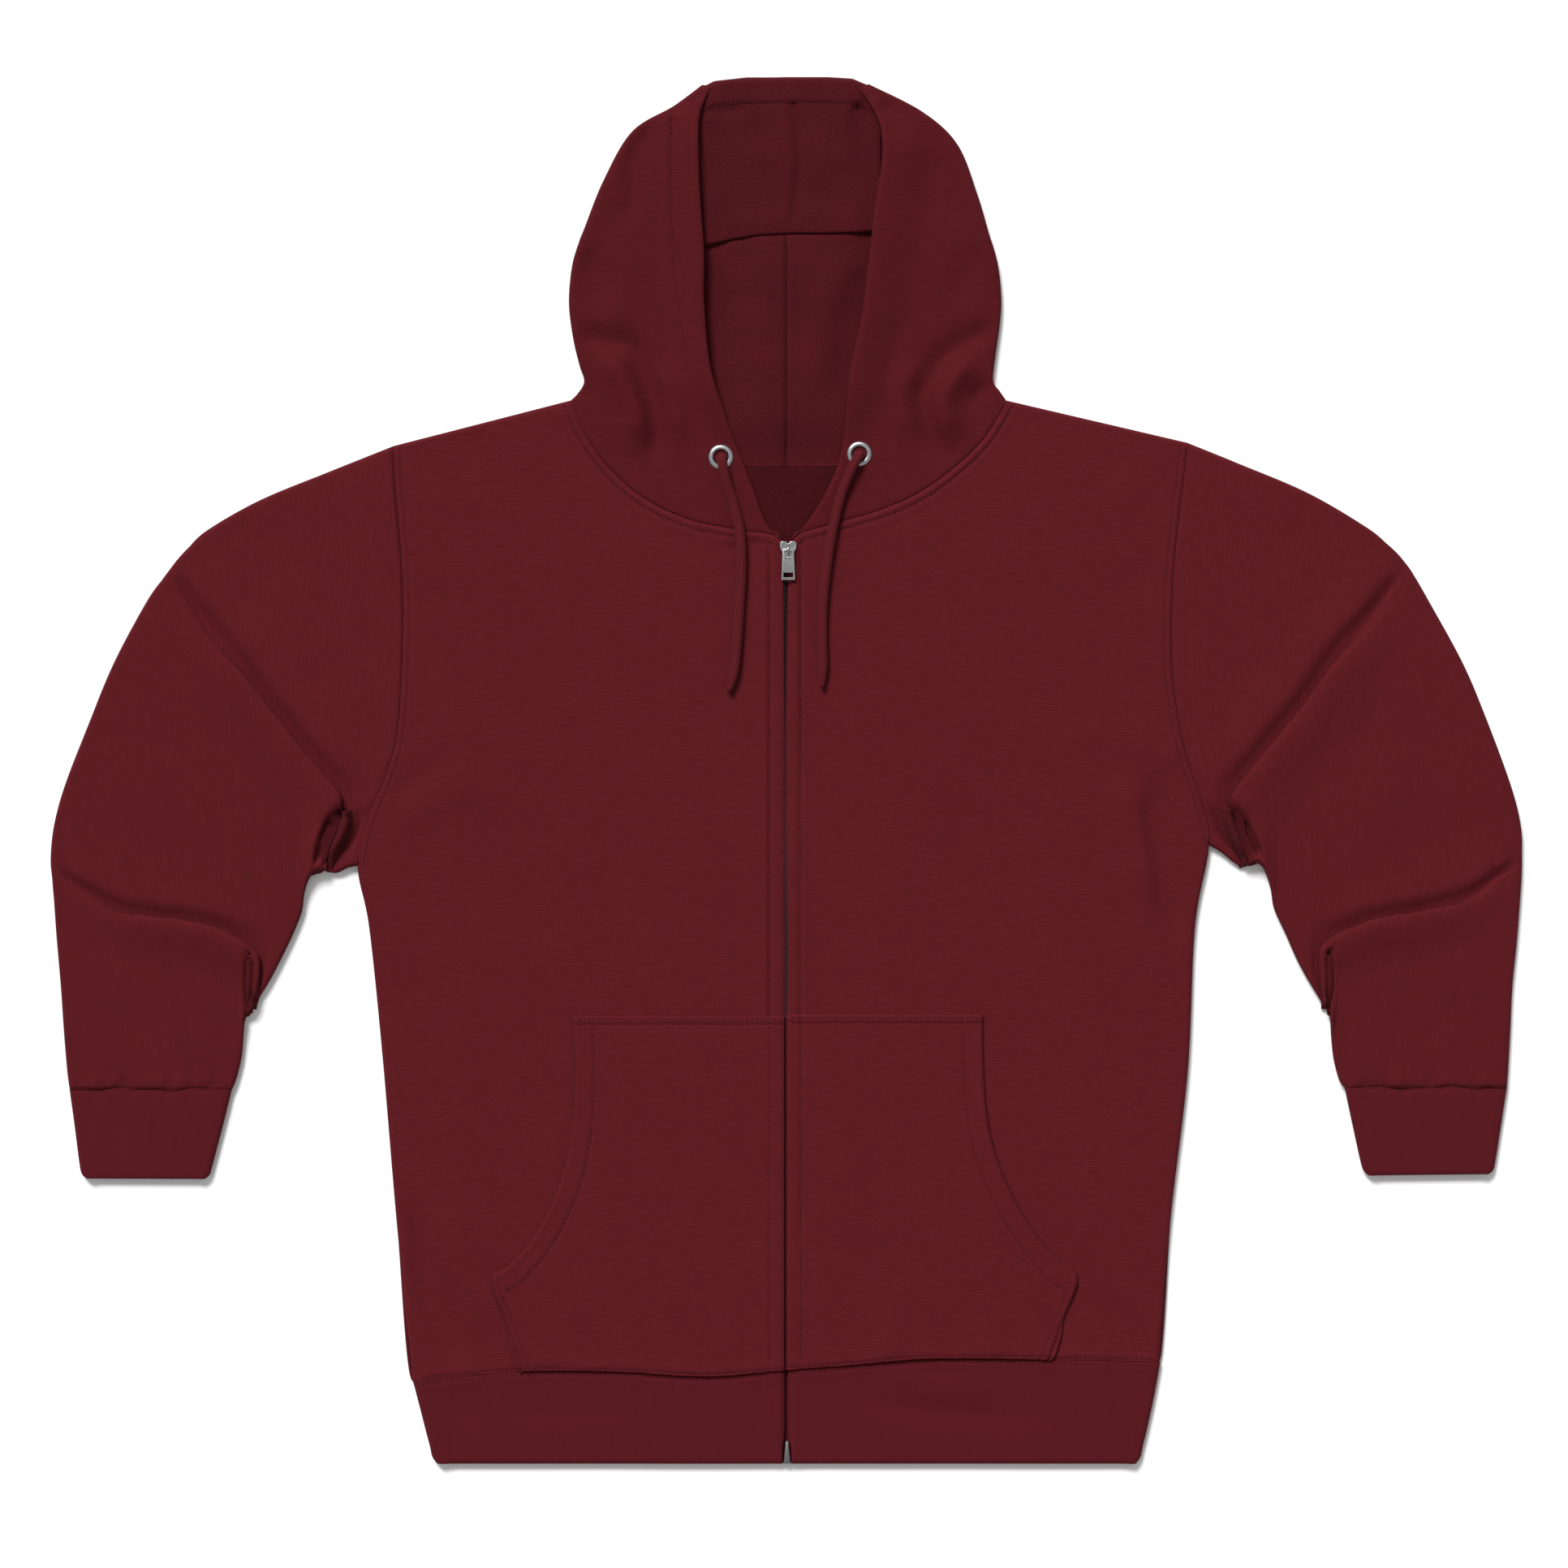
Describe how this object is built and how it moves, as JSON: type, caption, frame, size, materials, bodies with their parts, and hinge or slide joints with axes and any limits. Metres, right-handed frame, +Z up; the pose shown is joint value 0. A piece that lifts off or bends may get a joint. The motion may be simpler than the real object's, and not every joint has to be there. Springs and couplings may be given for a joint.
{
  "type": "zip-up hoodie",
  "caption": "Fleece hoodie laid flat, front up: full-length zip with a hinged pull tab, hood with eyelets and drawcord ends, split front pocket, ribbed cuffs and hem band.",
  "frame": {"origin": "the middle of the garment's footprint, on the surface it lies on", "axes": "+X towards the wearer's left, +Y from the hem to the hood, +Z up from the back panel to the fronts"},
  "size_m": [0.9792, 0.9226, 0.0151],
  "materials": {
    "fleece": "maroon heather fleece, matt knit face",
    "fleece_hood": "maroon fleece, knit face outside and brushed nap inside",
    "rib_knit": "maroon fine rib knit, folded double",
    "tape_weave": "woven zip tape",
    "bright_metal": "bright nickel plate",
    "grey_metal": "grey metal",
    "cord_braid": "flat woven cord"
  },
  "bodies": {
    "garment": {"back": "fleece", "front_right": "fleece", "front_left": "fleece", "sleeve_right": "fleece", "sleeve_left": "fleece", "pocket_right": "fleece", "pocket_left": "fleece", "hood_right": "fleece_hood", "hood_left": "fleece_hood", "cuff_right": "rib_knit", "cuff_left": "rib_knit", "waistband": "rib_knit", "zip_tape_right": "tape_weave", "zip_tape_left": "tape_weave", "zip_slider": "bright_metal", "zip_slider_bail": "bright_metal", "zip_retainer_box": "grey_metal", "eyelet_right": "bright_metal", "eyelet_left": "bright_metal", "drawcord_right": "cord_braid", "drawcord_left": "cord_braid"},
    "pull_tab": {"zip_pull_tab": "bright_metal"}
  },
  "joints": [
    {"name": "pull_tab_hinge", "type": "hinge", "parent": "garment", "child": "pull_tab", "pos_m": [0.0013, 0.1462, 0.01065], "axis": [-1, 0, 0], "range_deg": [0, 165]}
  ]
}
